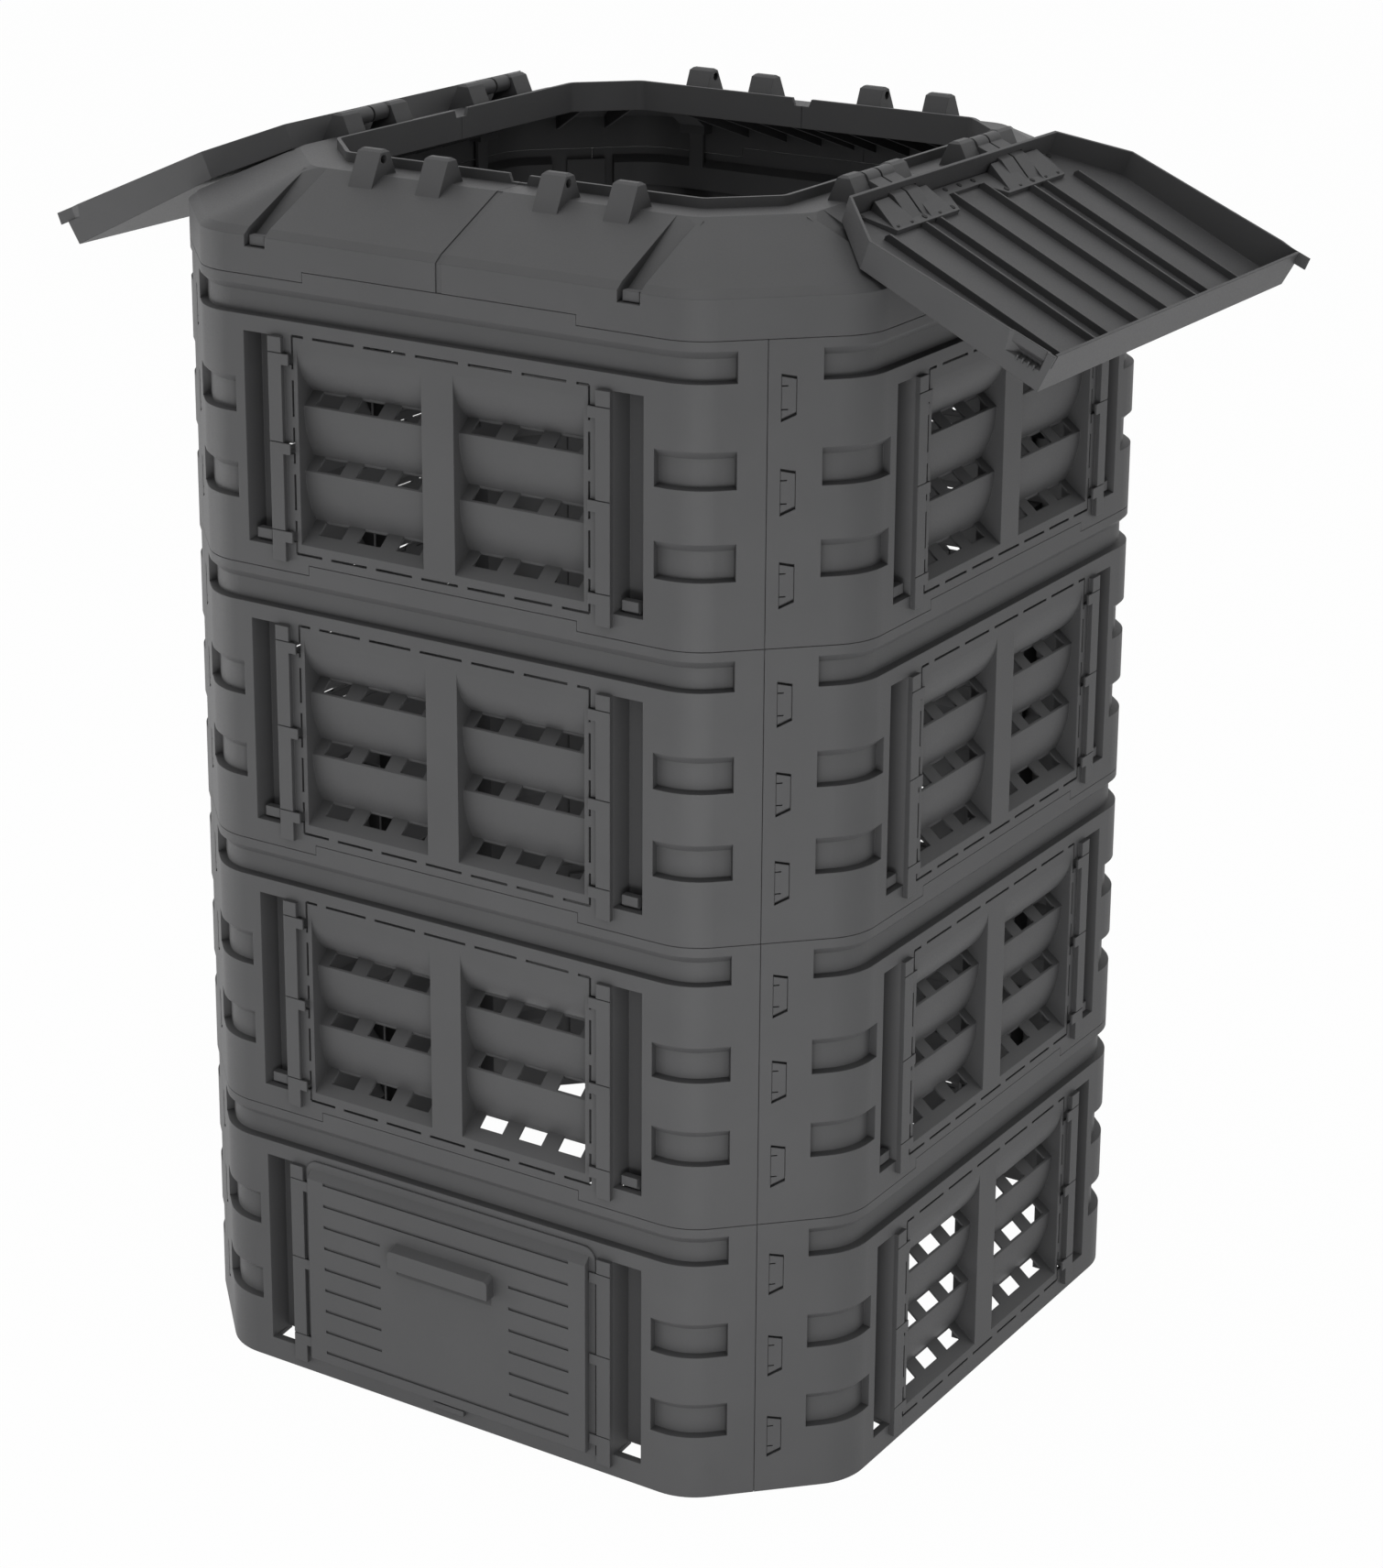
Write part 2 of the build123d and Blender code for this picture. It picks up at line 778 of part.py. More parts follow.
def roof_quarter():
    """The front right quarter of the roof."""
    sides = ((front_section, 1), (right_section, -1))
    lip_reach = mouth_half + lip_wall
    with BuildPart() as quarter:
        add(roof_form(0, 0))
        add(roof_form(wall, wall), mode=Mode.SUBTRACT)
        with BuildSketch(Plane.XY.offset(crown_level - lip_drop)):
            add(mouth_plan(lip_wall, mouth_round + lip_wall))
        extrude(amount=lip_drop + lip_height)
        with BuildSketch(Plane.XY.offset(crown_level - lip_drop)):
            add(mouth_plan(0, mouth_round))
        extrude(amount=lip_drop + lip_height, mode=Mode.SUBTRACT)
        with BuildSketch(Plane.XY.offset(roof_base)):
            with Locations((seam_gap / 2, -seam_gap / 2)):
                Rectangle(half, half, align=(Align.MIN, Align.MAX))
        extrude(amount=crown_rise + lip_height, mode=Mode.INTERSECT)

        for place in corner_gusset_places:
            with BuildSketch(corner_section.offset(place)):
                add(
                    gusset_outline(
                        facet_reach(half, corner_cut),
                        facet_reach(crown_half, mouth_cut + crown_ledge * (2 - sqrt(2))),
                        facet_reach(mouth_half, mouth_cut) + lip_wall,
                    )
                )
            extrude(amount=gusset_thick / 2, both=True)

        for section, sign in sides:
            # Ribs under the slope, from the skirt to the lip
            for place in gusset_places:
                with BuildSketch(section.offset(-sign * place)):
                    add(gusset_outline(half, crown_half, lip_reach))
                extrude(amount=gusset_thick / 2, both=True)

            # Groove down the slope over the clips of the tier below
            sill = roof_base + roof_groove_sill
            floor = half - roof_groove_depth
            with BuildSketch(section.offset(-sign * channel_centre)):
                Polygon(
                    (crown_half, crown_level - wall),
                    (floor - wall, sill + roof_groove_step - wall / 2),
                    (floor - wall, sill - wall),
                    (half - wall / 2, sill - wall),
                    (half - wall / 2, skirt_top - wall / 2),
                    (half - fold_inset - wall / 2, fold_level - wall / 2),
                    (crown_half, crown_level - wall / 2),
                    align=None,
                )
            extrude(amount=roof_groove_width / 2 + wall, both=True)
            with BuildSketch(section.offset(-sign * channel_centre)):
                Polygon(
                    (crown_half, crown_level),
                    (floor, sill + roof_groove_step),
                    (floor, sill),
                    (half + fit_gap, sill),
                    (half + fit_gap, crown_level),
                    align=None,
                )
            extrude(amount=roof_groove_width / 2, both=True, mode=Mode.SUBTRACT)
            with BuildSketch(section.offset(-sign * channel_centre)):
                with Locations((half - pocket_depth - wall / 2, sill)):
                    Rectangle(wall + 2 * clip_gap, 4 * wall)
            extrude(amount=clip_width / 2 + clip_gap, both=True, mode=Mode.SUBTRACT)

            # Notch in the skirt's foot for the raised edge below, notch in the lip
            with BuildSketch(section.offset(-sign * step_half / 2)):
                with Locations((half - wall / 2, roof_base + step_height / 2)):
                    Rectangle(wall, step_height)
            extrude(amount=step_half / 2, both=True, mode=Mode.SUBTRACT)
            add(lip_notch(), rotation=(0, 0, 0 if sign > 0 else 90), mode=Mode.SUBTRACT)

            # Pair of hinge lugs
            foot_front = axis_half + lug_foot_front
            foot_back = axis_half - lug_foot_back
            for place in (lug_near, lug_far):
                with BuildSketch(section.offset(-sign * place)):
                    Polygon(
                        (foot_back, crown_level - wall / 2),
                        (crown_half, crown_level - wall / 2),
                        (foot_front, slope_level(foot_front) - wall / 2),
                        (axis_half + lug_front, axis_level + lug_top),
                        (axis_half - lug_back, axis_level + lug_top),
                        align=None,
                    )
                extrude(amount=lug_width / 2, both=True)

        # Bevelled lug tops, then a blind bore in the facing sides of each pair
        chamfer(quarter.faces().group_by(Axis.Z)[-1].edges(), length=lug_bevel)
        for section, sign in sides:
            with BuildSketch(section.offset(-sign * knuckle_place)):
                with Locations((axis_half, axis_level)):
                    Circle(bore_radius)
            extrude(amount=knuckle_room / 2 + bore_depth, both=True, mode=Mode.SUBTRACT)

        # Shallow step beside the seam on the front, where the next quarter laps
        with BuildSketch(front_section):
            Polygon(
                (half, roof_base),
                (half, skirt_top),
                (half - fold_inset, fold_level),
                (crown_half, crown_level),
                (crown_half, crown_level - seam_step_depth),
                (half - fold_inset - seam_step_depth, fold_level - seam_step_depth / 2),
                (half - seam_step_depth, skirt_top - seam_step_depth / 2),
                (half - seam_step_depth, roof_base),
                align=None,
            )
        extrude(amount=-seam_step_width, mode=Mode.SUBTRACT)
    return quarter.part


def lid_level(depth):
    """Level of the lid's outer skin, which is pitched along the lid."""
    pitch = (rim_at_front - rim_at_hinge) / (lid_end - lid_start)
    return -rim_at_hinge - pitch * (depth - lid_start)


def under_floor(lift):
    """All that lies under the lid's floor, for trimming against it."""
    deep = -2 * rim_at_front
    with BuildPart() as trim:
        with BuildSketch(lid_section):
            Polygon(
                (0, lid_level(0) + lift),
                (0, deep),
                (lid_end + lid_start, deep),
                (lid_end + lid_start, lid_level(lid_end + lid_start) + lift),
                align=None,
            )
        extrude(amount=lid_half + lid_start, both=True)
    return trim.part


def lid_form(inset, lift, rise):
    """The lid as a closed form, drawn in and lifted for the space inside."""
    with BuildPart() as form:
        with BuildSketch(lid_flat.offset(rim_edge + rise)):
            Polygon(
                (lid_start + inset, -lid_hinge_half - inset * (1 - sqrt(2))),
                (lid_start + lid_cut - inset * (1 - sqrt(2)), -lid_half + inset),
                (lid_end - inset, -lid_half + inset),
                (lid_end - inset, lid_half - inset),
                (lid_start + lid_cut - inset * (1 - sqrt(2)), lid_half - inset),
                (lid_start + inset, lid_hinge_half + inset * (1 - sqrt(2))),
                align=None,
            )
        extrude(amount=-rim_edge - rise - rim_at_front - lid_skin, taper=lid_draft)
        add(under_floor(lift), mode=Mode.SUBTRACT)
    return form.part


def finger_scoop(skin, edge):
    """A scoop in the lid's front side wall, drawn out by a skin for its backing."""
    start = lid_end - scoop_margin - scoop_length - skin
    stop = lid_end - scoop_margin + skin
    deep = -lid_half + scoop_deep + skin
    rim_deep = -lid_half + scoop_rim_deep + skin
    bend = scoop_bend + skin * (sqrt(2) - 1)
    with BuildPart() as scoop:
        with BuildSketch(lid_flat.offset(rim_edge + fit_gap)):
            Polygon(
                (start, edge),
                (stop, edge),
                (stop - scoop_slant_end, deep),
                (start + scoop_slant_start, deep),
                align=None,
            )
        extrude(amount=-2 * rim_at_front)
        with BuildSketch(lid_cross):
            Polygon(
                (edge, rim_edge + fit_gap - skin / 4),
                (rim_deep, rim_edge + fit_gap - skin / 4),
                (rim_deep, bend),
                (deep, bend - scoop_deep + scoop_rim_deep),
                (deep, scoop_low + scoop_floor_rise - skin),
                (edge, scoop_low - skin),
                align=None,
            )
        extrude(amount=lid_end, mode=Mode.INTERSECT)
    return scoop.part


def lid():
    """The right lid, lying open with its rim upward."""
    rib_stop = lid_end - 1.5 * lid_skin
    scoop_inner = scoop_length - scoop_slant_start - scoop_slant_end
    scoop_centre = lid_end - scoop_margin - scoop_slant_end - scoop_inner / 2
    tab_face = lid_half - tab_inset
    tab_back = tab_face - tab_skin
    with BuildPart() as shell:
        add(lid_form(0, 0, 0))
        add(lid_form(lid_skin, lid_skin, fit_gap), mode=Mode.SUBTRACT)

        # Stiffening ribs along the floor
        for place in rib_places:
            rib_start = strip_short if place < strip_inner else strip_long
            for side in (-1, 1):
                with BuildSketch(lid_section.offset(side * place)):
                    Polygon(
                        (rib_start + fit_gap, lid_level(rib_start) + lid_skin / 2),
                        (rib_stop, lid_level(rib_stop) + lid_skin / 2),
                        (rib_stop, lid_level(rib_stop) + lid_skin + rib_height),
                        (rib_start + rib_height / 2, lid_level(rib_start) + lid_skin + rib_height),
                        (rib_start + fit_gap, lid_level(rib_start) + lid_skin + rib_height / 2),
                        align=None,
                    )
                extrude(amount=rib_thick / 2, both=True)

        # Finger scoop at the free end of the front side wall, with small ribs in it
        add(finger_scoop(scoop_skin, -lid_half + 0.75 * lid_skin))
        add(finger_scoop(0, -lid_half - fit_gap), mode=Mode.SUBTRACT)
        with BuildSketch(lid_flat.offset(scoop_low + scoop_floor_rise)):
            with Locations((scoop_centre, -lid_half + scoop_deep)):
                with GridLocations(scoop_inner / scoop_ribs, 0, scoop_ribs, 1):
                    Rectangle(scoop_rib_thick, scoop_deep, align=(Align.CENTER, Align.MAX))
        extrude(amount=-scoop_floor_rise - scoop_skin / 2)

        # Tab on the back side wall that reaches over to the other lid, and its relief
        with BuildSketch(lid_flat.offset(rim_edge)):
            Polygon(
                (lid_end - tab_slant_start - tab_skin, lid_half - 0.75 * lid_skin),
                (lid_end - lid_skin / 2, lid_half - 0.75 * lid_skin),
                (lid_end - lid_skin / 2, tab_back),
                (lid_end - tab_slant_end, tab_back),
                (lid_end - tab_slant_start - tab_skin, lid_half - lid_skin),
                align=None,
            )
        extrude(amount=-rim_edge - lid_skin)
        with BuildSketch(lid_flat):
            Polygon(
                (lid_end - tab_slant_start, lid_half + fit_gap),
                (lid_end - tab_slant_end, tab_face),
                (lid_end + fit_gap, tab_face),
                (lid_end + fit_gap, lid_half + fit_gap),
                align=None,
            )
        extrude(amount=rim_edge + fit_gap, mode=Mode.SUBTRACT)
        with BuildSketch(lid_flat):
            with Locations((lid_end - tab_slant_end, tab_face)):
                Rectangle(tab_slant_end + tab_reach, tab_skin, align=(Align.MIN, Align.MAX))
        extrude(amount=rim_edge)
        with BuildSketch(lid_flat.offset(-fit_gap)):
            with Locations((lid_end + fit_gap, -tab_face - fit_gap)):
                Rectangle(
                    tab_reach - 2 * lid_meet + 2 * fit_gap,
                    tab_skin + 2 * fit_gap,
                    align=(Align.MAX, Align.MIN),
                )
        extrude(amount=rim_edge + 2 * fit_gap, mode=Mode.SUBTRACT)

        # Windows in the hinge wall for the arms of the knuckles
        with BuildSketch(lid_flat):
            with Locations((lid_start, -knuckle_place), (lid_start, knuckle_place)):
                Rectangle(4 * lid_skin, knuckle_room)
        extrude(amount=arm_half_tall + clip_gap, both=True, mode=Mode.SUBTRACT)
    return shell.part


def hinge_strip():
    """The right lid's hinge strip, with its knuckles on the axis."""
    finger_width = (knuckle_room - knuckle_split) / 2 - knuckle_side_gap
    finger_shift = (finger_width + knuckle_split) / 2
    ramp_end = strip_long - lid_skin
    with BuildPart() as ramps:
        with BuildSketch(lid_flat.offset(-strip_top)):
            for place in (lug_near + ramp_near_shift, lug_far + ramp_far_shift):
                with Locations((0, -place), (0, place)):
                    Polygon(
                        (strip_start, -ramp_top_width / 2),
                        (ramp_end, -ramp_foot_width / 2),
                        (ramp_end, ramp_foot_width / 2),
                        (strip_start, ramp_top_width / 2),
                        align=None,
                    )
        extrude(amount=ramp_rise)
        with BuildSketch(lid_section):
            Polygon(
                (strip_start, ramp_rise - strip_top),
                (ramp_end, ramp_rise - strip_top),
                (ramp_end, -strip_top),
                align=None,
            )
        extrude(amount=lid_half, both=True, mode=Mode.SUBTRACT)

    with BuildPart() as strip:
        with BuildSketch(lid_flat.offset(-strip_top)):
            Polygon(
                (strip_start, -strip_outer - strip_slant),
                (strip_long, -strip_outer),
                (strip_long, -strip_inner),
                (strip_short, -strip_inner + strip_slant),
                (strip_short, strip_inner - strip_slant),
                (strip_long, strip_inner),
                (strip_long, strip_outer),
                (strip_start, strip_outer + strip_slant),
                align=None,
            )
        extrude(amount=-rim_at_front)

        # Wedges that brace the strip against the hinge wall
        add(ramps.part)

        # Split knuckles on arms, with a pin at each outer end
        for side in (-1, 1):
            for half_side in (-1, 1):
                place = side * knuckle_place + half_side * finger_shift
                with BuildSketch(lid_section.offset(place)):
                    Circle(knuckle_radius)
                    Polygon(
                        (0, arm_half_tall),
                        (arm_run, arm_half_tall),
                        (ramp_end, -strip_top - lid_skin),
                        (strip_start, -strip_top - lid_skin),
                        (strip_start, -arm_half_tall),
                        (0, -arm_half_tall),
                        align=None,
                    )
                extrude(amount=finger_width / 2, both=True)
                end = place + half_side * finger_width / 2
                with BuildSketch(lid_section.offset(end)):
                    Circle(bore_radius - pin_gap)
                extrude(amount=half_side * (bore_depth + knuckle_side_gap - pin_gap))
        add(under_floor(lid_skin), mode=Mode.SUBTRACT)
    return strip.part


def write(node, shape):
    """Name a finished piece and write it out."""
    shape.label = node
    export_step(shape, f"parts/{node}.step")


os.makedirs("parts", exist_ok=True)

upper_panel = wall_panel(on_ground=False, has_door=False)
ground_panel = wall_panel(on_ground=True, has_door=False)
door_panel = wall_panel(on_ground=True, has_door=True)
for tier in range(tier_count):
    for turn, side_name in enumerate(("front", "right", "back", "left")):
        source = upper_panel
        if tier == 0:
            source = door_panel if side_name == "front" else ground_panel
        place = Location((0, 0, tier * tier_height), (0, 0, 90 * turn))
        write(f"panel_{side_name}_{tier + 1}", source.moved(place))

write("door", sliding_door())

quarter = roof_quarter()
for turn, corner in enumerate(("front_right", "back_right", "back_left", "front_left")):
    write(f"roof_{corner}", quarter.moved(Location((0, 0, 0), (0, 0, 90 * turn))))

right_lid = lid()
right_strip = hinge_strip()
write("lid_right", right_lid)
write("hinge_strip_right", right_strip)
half_turn = Location((0, 0, 0), (0, 0, 180))
write("lid_left", right_lid.moved(half_turn))
write("hinge_strip_left", right_strip.moved(half_turn))
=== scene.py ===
# %% [markdown]
# # A modular compost bin
# The bin is clipped together from moulded plastic panels in four tiers, with a
# roof of four quarters, two lids that swing right over and a sliding door at
# the foot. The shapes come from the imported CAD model. This lesson gives them
# their plastic, adds the small parts and lights the scene.

from math import cos, pi, radians, sin

import bpy
from mathutils import Matrix, Vector


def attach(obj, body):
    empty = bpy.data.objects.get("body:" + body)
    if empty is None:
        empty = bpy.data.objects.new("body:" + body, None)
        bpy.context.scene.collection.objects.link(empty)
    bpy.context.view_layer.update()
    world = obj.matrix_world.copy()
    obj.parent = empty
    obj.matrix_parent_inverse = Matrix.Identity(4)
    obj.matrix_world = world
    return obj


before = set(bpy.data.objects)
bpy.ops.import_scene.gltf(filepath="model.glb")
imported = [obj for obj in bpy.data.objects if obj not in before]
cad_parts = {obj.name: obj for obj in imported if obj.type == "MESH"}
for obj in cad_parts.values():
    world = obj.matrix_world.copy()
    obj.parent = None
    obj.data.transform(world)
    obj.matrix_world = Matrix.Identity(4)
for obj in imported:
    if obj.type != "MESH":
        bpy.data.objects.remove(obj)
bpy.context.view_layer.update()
scene = bpy.context.scene

# %% [markdown]
# ## Camera
# A photograph has a place, a direction and a focal length. These were fitted to
# straight edges of the bin, so the render lines up with the photograph. The
# frame's centre lies below the lens axis, which the camera's shift gives.

# %% Camera
IMAGE_WIDTH = 1510
IMAGE_HEIGHT = 1712
SENSOR_MM = 36.0
camera_place = Vector((1.9623, -3.0382, 1.9145))
camera_turn = radians(32.29)
camera_down = radians(16.67)
camera_roll = radians(0.44)
focal_pixels = 3938.2
axis_pixel = (766.4, 597.9)
SIGHT_LIMIT = 100.0

camera_data = bpy.data.cameras.new("photo_camera")
camera_data.sensor_fit = "HORIZONTAL"
camera_data.sensor_width = SENSOR_MM
camera_data.lens = focal_pixels * SENSOR_MM / IMAGE_WIDTH
camera_data.shift_x = (IMAGE_WIDTH / 2 - axis_pixel[0]) / IMAGE_WIDTH
camera_data.shift_y = (axis_pixel[1] - IMAGE_HEIGHT / 2) / IMAGE_WIDTH
camera_data.clip_end = SIGHT_LIMIT
camera = bpy.data.objects.new("photo_camera", camera_data)
camera.matrix_world = (
    Matrix.Translation(camera_place)
    @ Matrix.Rotation(camera_turn, 4, "Z")
    @ Matrix.Rotation(pi / 2 - camera_down, 4, "X")
    @ Matrix.Rotation(camera_roll, 4, "Z")
)
scene.collection.objects.link(camera)
scene.camera = camera
print("lens", round(camera_data.lens, 2), "mm")

# %% [markdown]
# ## Plastic
# Such bins are moulded from recycled polypropylene, coloured dark grey. The mould
# has a fine grain that scatters light, so the surface is satin, not glossy.
# A faint cloudiness comes from the mixed recycled feed. Narrow recesses look darker than
# soft lamps alone make them, so painted shade darkens the plastic's colour there.

# %% Helpers for materials
MM = 0.001


def linear(hex_colour):
    """Turn an sRGB hex colour into the linear values that a shader takes."""
    channels = [int(hex_colour[i : i + 2], 16) / 255 for i in (1, 3, 5)]
    parts = [
        c / 12.92 if c <= 0.04045 else ((c + 0.055) / 1.055) ** 2.4
        for c in channels
    ]
    return (*parts, 1.0)


def add_node(tree, kind, settings=None, values=None, links=None):
    """Add a node, set its properties and sockets, and link its inputs."""
    node = tree.nodes.new(kind)
    for key, value in (settings or {}).items():
        setattr(node, key, value)
    for key, value in (values or {}).items():
        node.inputs[key].default_value = value
    for key, socket in (links or {}).items():
        tree.links.new(socket, node.inputs[key])
    return node


# %% Moulded polypropylene
GRAIN_MM = 1.6
GRAIN_DEPTH_MM = 0.3
GRAIN_BUMP = 0.12
GRAIN_NOISE = {"Scale": 1 / (GRAIN_MM * MM), "Detail": 2.0, "Roughness": 0.6}
GRAIN_LOW, GRAIN_HIGH = 0.3, 0.7
SATIN_SPREAD = 0.06
CLOUD_MM = 90.0
CLOUD_NOISE = {"Scale": 1 / (CLOUD_MM * MM), "Detail": 3.0, "Roughness": 0.55}
EDGE_ROUND_MM = 1.2
# Painted shade: recesses within this reach have their colour darkened, down to this share
# of it.
CREASE_MM = 38.0
PAINTED_CREASE_SHADE = 0.32
RAY_SAMPLES = 4
POLYPROPYLENE_IOR = 1.49
GLOSS_LEVEL = 0.32


def moulded_polypropylene(name, deep, pale, rough):
    """Dark moulded plastic: dull satin grain, soft edges, faint clouds and painted shade in
    creases.
    """
    material = bpy.data.materials.new(name)
    material.use_nodes = True
    tree = material.node_tree
    tree.nodes.clear()
    place = add_node(tree, "ShaderNodeTexCoord").outputs["Object"]
    # The real grain is finer than a pixel of the picture, so it is drawn coarser.
    grain = add_node(
        tree, "ShaderNodeTexNoise", values=GRAIN_NOISE, links={"Vector": place}
    ).outputs["Fac"]
    cloud = add_node(
        tree, "ShaderNodeTexNoise", values=CLOUD_NOISE, links={"Vector": place}
    ).outputs["Fac"]
    colour = add_node(
        tree,
        "ShaderNodeMix",
        {"data_type": "RGBA"},
        {"A": linear(deep), "B": linear(pale)},
        {"Factor": cloud},
    ).outputs["Result"]
    # Painted shade: each piece darkens the colour of its own recesses only, so nothing
    # stays dark when a lid moves.
    open_share = add_node(
        tree,
        "ShaderNodeAmbientOcclusion",
        {"samples": RAY_SAMPLES, "only_local": True},
        {"Distance": CREASE_MM * MM},
    ).outputs["AO"]
    painted_shade = add_node(
        tree,
        "ShaderNodeMapRange",
        values={"To Min": PAINTED_CREASE_SHADE, "To Max": 1.0},
        links={"Value": open_share},
    ).outputs["Result"]
    colour = add_node(
        tree,
        "ShaderNodeVectorMath",
        {"operation": "SCALE"},
        links={"Vector": colour, "Scale": painted_shade},
    ).outputs["Vector"]
    satin = add_node(
        tree,
        "ShaderNodeMapRange",
        values={
            "From Min": GRAIN_LOW,
            "From Max": GRAIN_HIGH,
            "To Min": rough - SATIN_SPREAD,
            "To Max": rough + SATIN_SPREAD,
        },
        links={"Value": grain},
    ).outputs["Result"]
    edge = add_node(
        tree, "ShaderNodeBevel", {"samples": RAY_SAMPLES}, {"Radius": EDGE_ROUND_MM * MM}
    ).outputs["Normal"]
    bump = add_node(
        tree,
        "ShaderNodeBump",
        values={"Strength": GRAIN_BUMP, "Distance": GRAIN_DEPTH_MM * MM},
        links={"Height": grain, "Normal": edge},
    ).outputs["Normal"]
    plastic = add_node(
        tree,
        "ShaderNodeBsdfPrincipled",
        values={"IOR": POLYPROPYLENE_IOR, "Specular IOR Level": GLOSS_LEVEL},
        links={"Base Color": colour, "Roughness": satin, "Normal": bump},
    )
    add_node(tree, "ShaderNodeOutputMaterial", links={"Surface": plastic.outputs["BSDF"]})
    return material


panel_plastic = moulded_polypropylene(
    "moulded_polypropylene", deep="#4E4E4F", pale="#565657", rough=0.55
)
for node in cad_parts.values():
    node.data.materials.clear()
    node.data.materials.append(panel_plastic)
print("plastic on", len(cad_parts), "nodes")

# %% [markdown]
# ## Pegs of the hinge strips
# Each hinge strip is held to its lid by a row of small round pegs. Geometry Nodes
# puts one peg on each point of a list, so one group serves both lids. The rows
# are drawn flat in the lid's own frame and then laid on the open lids.

# %% Peg group
PEG_RADIUS = 2.9 * MM
PEG_HEIGHT = 1.6 * MM
PEG_SIDES = 16
# Painted shade: the pegs are coloured near black, a colour that stands in for the shade on
# these small spots.
peg_shade_plastic = moulded_polypropylene(
    "peg_painted_shade", deep="#101011", pale="#161617", rough=0.6
)

peg_group = bpy.data.node_groups.new("pegs_on_points", "GeometryNodeTree")
add_socket = peg_group.interface.new_socket
add_socket("Points", in_out="INPUT", socket_type="NodeSocketGeometry")
radius_input = add_socket("Radius", in_out="INPUT", socket_type="NodeSocketFloat")
height_input = add_socket("Height", in_out="INPUT", socket_type="NodeSocketFloat")
add_socket("Pegs", in_out="OUTPUT", socket_type="NodeSocketGeometry")
given = add_node(peg_group, "NodeGroupInput").outputs
peg = add_node(
    peg_group,
    "GeometryNodeMeshCylinder",
    values={"Vertices": PEG_SIDES},
    links={"Radius": given["Radius"], "Depth": given["Height"]},
).outputs["Mesh"]
placed = add_node(
    peg_group,
    "GeometryNodeInstanceOnPoints",
    links={"Points": given["Points"], "Instance": peg},
).outputs["Instances"]
solid = add_node(
    peg_group, "GeometryNodeRealizeInstances", links={"Geometry": placed}
).outputs["Geometry"]
painted = add_node(
    peg_group,
    "GeometryNodeSetMaterial",
    values={"Material": peg_shade_plastic},
    links={"Geometry": solid},
).outputs["Geometry"]
add_node(peg_group, "NodeGroupOutput", links={"Pegs": painted})
print("nodes in the peg group:", len(peg_group.nodes))

# %% Peg rows on both lids
HINGE_HALF = 300 * MM
HINGE_LEVEL = 1274 * MM
LID_TILT = radians(23.25)
STRIP_TOP = -7 * MM
# Millimetres from the hinge line, and along it from the middle of the lid.
MIDDLE = (39, 0)
LONG_EDGE = [(64, y) for y in (55, 82, 109.5, 136, 162)]
SHORT_EDGE = [(39, 28), (39, 188)]
peg_places = [MIDDLE] + [
    (depth, side * y) for depth, y in LONG_EDGE + SHORT_EDGE for side in (-1, 1)
]


def peg_row(body, turn):
    """The pegs of one lid, as one mesh laid on the open lid."""
    points = bpy.data.meshes.new(body + "_peg_points")
    spots = [(x * MM, y * MM, STRIP_TOP) for x, y in peg_places]
    points.from_pydata(spots, [], [])
    carrier = bpy.data.objects.new(body + "_peg_points", points)
    scene.collection.objects.link(carrier)
    modifier = carrier.modifiers.new("pegs", "NODES")
    modifier.node_group = peg_group
    modifier[radius_input.identifier] = PEG_RADIUS
    modifier[height_input.identifier] = PEG_HEIGHT
    shown = carrier.evaluated_get(bpy.context.evaluated_depsgraph_get())
    mesh = bpy.data.meshes.new_from_object(shown)
    mesh.transform(
        Matrix.Rotation(turn, 4, "Z")
        @ Matrix.Translation((HINGE_HALF, 0, HINGE_LEVEL))
        @ Matrix.Rotation(LID_TILT, 4, "Y")
    )
    bpy.data.objects.remove(carrier)
    row = bpy.data.objects.new(body + "_pegs", mesh)
    scene.collection.objects.link(row)
    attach(row, body)


for body, turn in (("lid_right", 0), ("lid_left", pi)):
    peg_row(body, turn)
print("pegs on each lid:", len(peg_places))

# %% [markdown]
# ## Floor and light
# The photograph is a studio picture on white. A white floor keeps a soft shadow.
# Two low strip lamps light the walls from the right and the left, as a bright
# studio floor does, a lamp overhead lights the roof, and an even pale world
# fills the rest. A weak bulb hangs inside, so the inner walls show through the
# mouth and the vents. The camera and the plastic's gloss see white all round.

# %% Floor
FLOOR_SIZE = 40.0
FLOOR_WHITE = 0.98
WHITE = (1, 1, 1, 1)
floor_mesh = bpy.data.meshes.new("floor")
corner = FLOOR_SIZE / 2
corners = [
    (-corner, -corner, 0),
    (corner, -corner, 0),
    (corner, corner, 0),
    (-corner, corner, 0),
]
floor_mesh.from_pydata(corners, [], [(0, 1, 2, 3)])
floor = bpy.data.objects.new("floor", floor_mesh)
scene.collection.objects.link(floor)


def seen_white(tree):
    """A socket that is 1 for rays that see the background, straight or in a reflection."""
    rays = add_node(tree, "ShaderNodeLightPath").outputs
    mirrored = add_node(
        tree,
        "ShaderNodeMath",
        {"operation": "MAXIMUM"},
        links={0: rays["Is Glossy Ray"], 1: rays["Is Transmission Ray"]},
    ).outputs[0]
    return add_node(
        tree,
        "ShaderNodeMath",
        {"operation": "MAXIMUM"},
        links={0: rays["Is Camera Ray"], 1: mirrored},
    ).outputs[0]


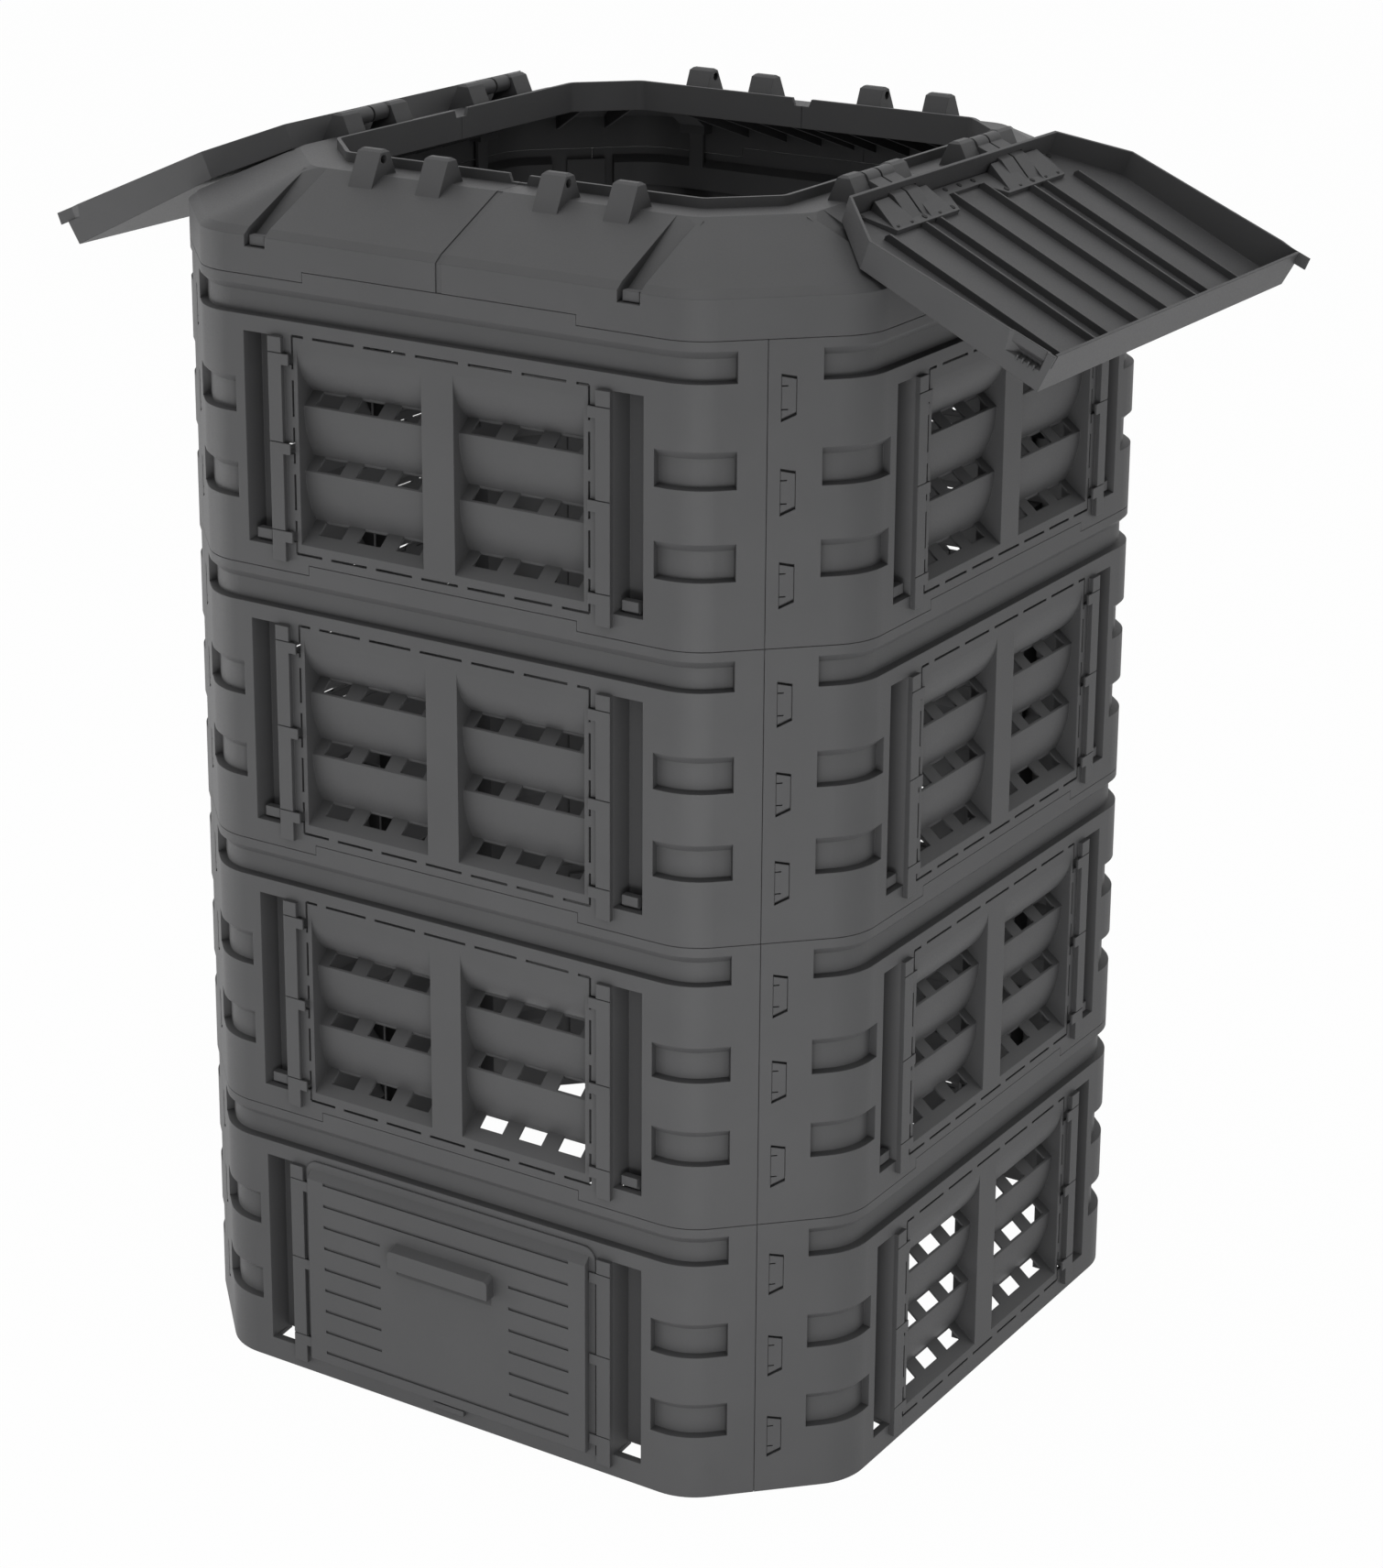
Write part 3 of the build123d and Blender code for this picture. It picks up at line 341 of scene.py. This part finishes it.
floor_paint = bpy.data.materials.new("white_studio_floor")
floor_paint.use_nodes = True
tree = floor_paint.node_tree
tree.nodes.clear()
share = add_node(
    tree,
    "ShaderNodeMath",
    {"operation": "MULTIPLY"},
    {1: FLOOR_WHITE},
    {0: seen_white(tree)},
).outputs[0]
paint = add_node(
    tree, "ShaderNodeBsdfDiffuse", values={"Color": linear("#F2F2F2")}
).outputs[0]
glow = add_node(
    tree, "ShaderNodeEmission", values={"Color": WHITE, "Strength": 1.0}
).outputs[0]
mixed = add_node(
    tree, "ShaderNodeMixShader", links={0: share, 1: paint, 2: glow}
).outputs[0]
add_node(tree, "ShaderNodeOutputMaterial", links={"Surface": mixed})
floor_mesh.materials.append(floor_paint)
print("floor", FLOOR_SIZE, "m wide")

# %% World and lamps
WORLD_LEVEL = 0.37
world = bpy.data.worlds.new("studio")
scene.world = world
world.use_nodes = True
tree = world.node_tree
tree.nodes.clear()
dim = add_node(
    tree, "ShaderNodeBackground", values={"Color": WHITE, "Strength": WORLD_LEVEL}
).outputs[0]
bright = add_node(
    tree, "ShaderNodeBackground", values={"Color": WHITE, "Strength": 1.0}
).outputs[0]
mixed = add_node(
    tree, "ShaderNodeMixShader", links={0: seen_white(tree), 1: dim, 2: bright}
).outputs[0]
add_node(tree, "ShaderNodeOutputWorld", links={"Surface": mixed})

LAMP_AIM = 0.25


def soft_lamp(name, turn, rise, reach, size, level):
    """A broad lamp that faces the bin. Alone at level 1 it shows a colour as written."""
    turn, rise = radians(turn), radians(rise)
    away = Vector((sin(turn) * cos(rise), -cos(turn) * cos(rise), sin(rise)))
    data = bpy.data.lights.new(name, "AREA")
    data.shape = "RECTANGLE"
    data.size, data.size_y = size
    data.energy = level * pi**2 * reach**2
    lamp = bpy.data.objects.new(name, data)
    lamp.location = Vector((0, 0, LAMP_AIM)) + away * reach
    lamp.rotation_euler = away.to_track_quat("Z", "Y").to_euler()
    scene.collection.objects.link(lamp)


STRIP = {"rise": 0, "reach": 2.6, "size": (1.6, 0.45)}
soft_lamp("right_strip", turn=31, level=0.34, **STRIP)
soft_lamp("left_strip", turn=-65, level=0.18, **STRIP)
soft_lamp("top_lamp", turn=0, level=0.2, rise=85, reach=6.0, size=(2.5, 2.5))

INSIDE_WATTS = 1.5
INSIDE_RADIUS = 0.2
INSIDE_PLACE = (0, 0, 0.75)
inside_data = bpy.data.lights.new("inside_fill", "POINT")
inside_data.energy = INSIDE_WATTS
inside_data.shadow_soft_size = INSIDE_RADIUS
inside_fill = bpy.data.objects.new("inside_fill", inside_data)
inside_fill.location = INSIDE_PLACE
inside_fill.visible_camera = False
scene.collection.objects.link(inside_fill)
scene.view_settings.view_transform = "Standard"
print("lamps:", len(bpy.data.lights))
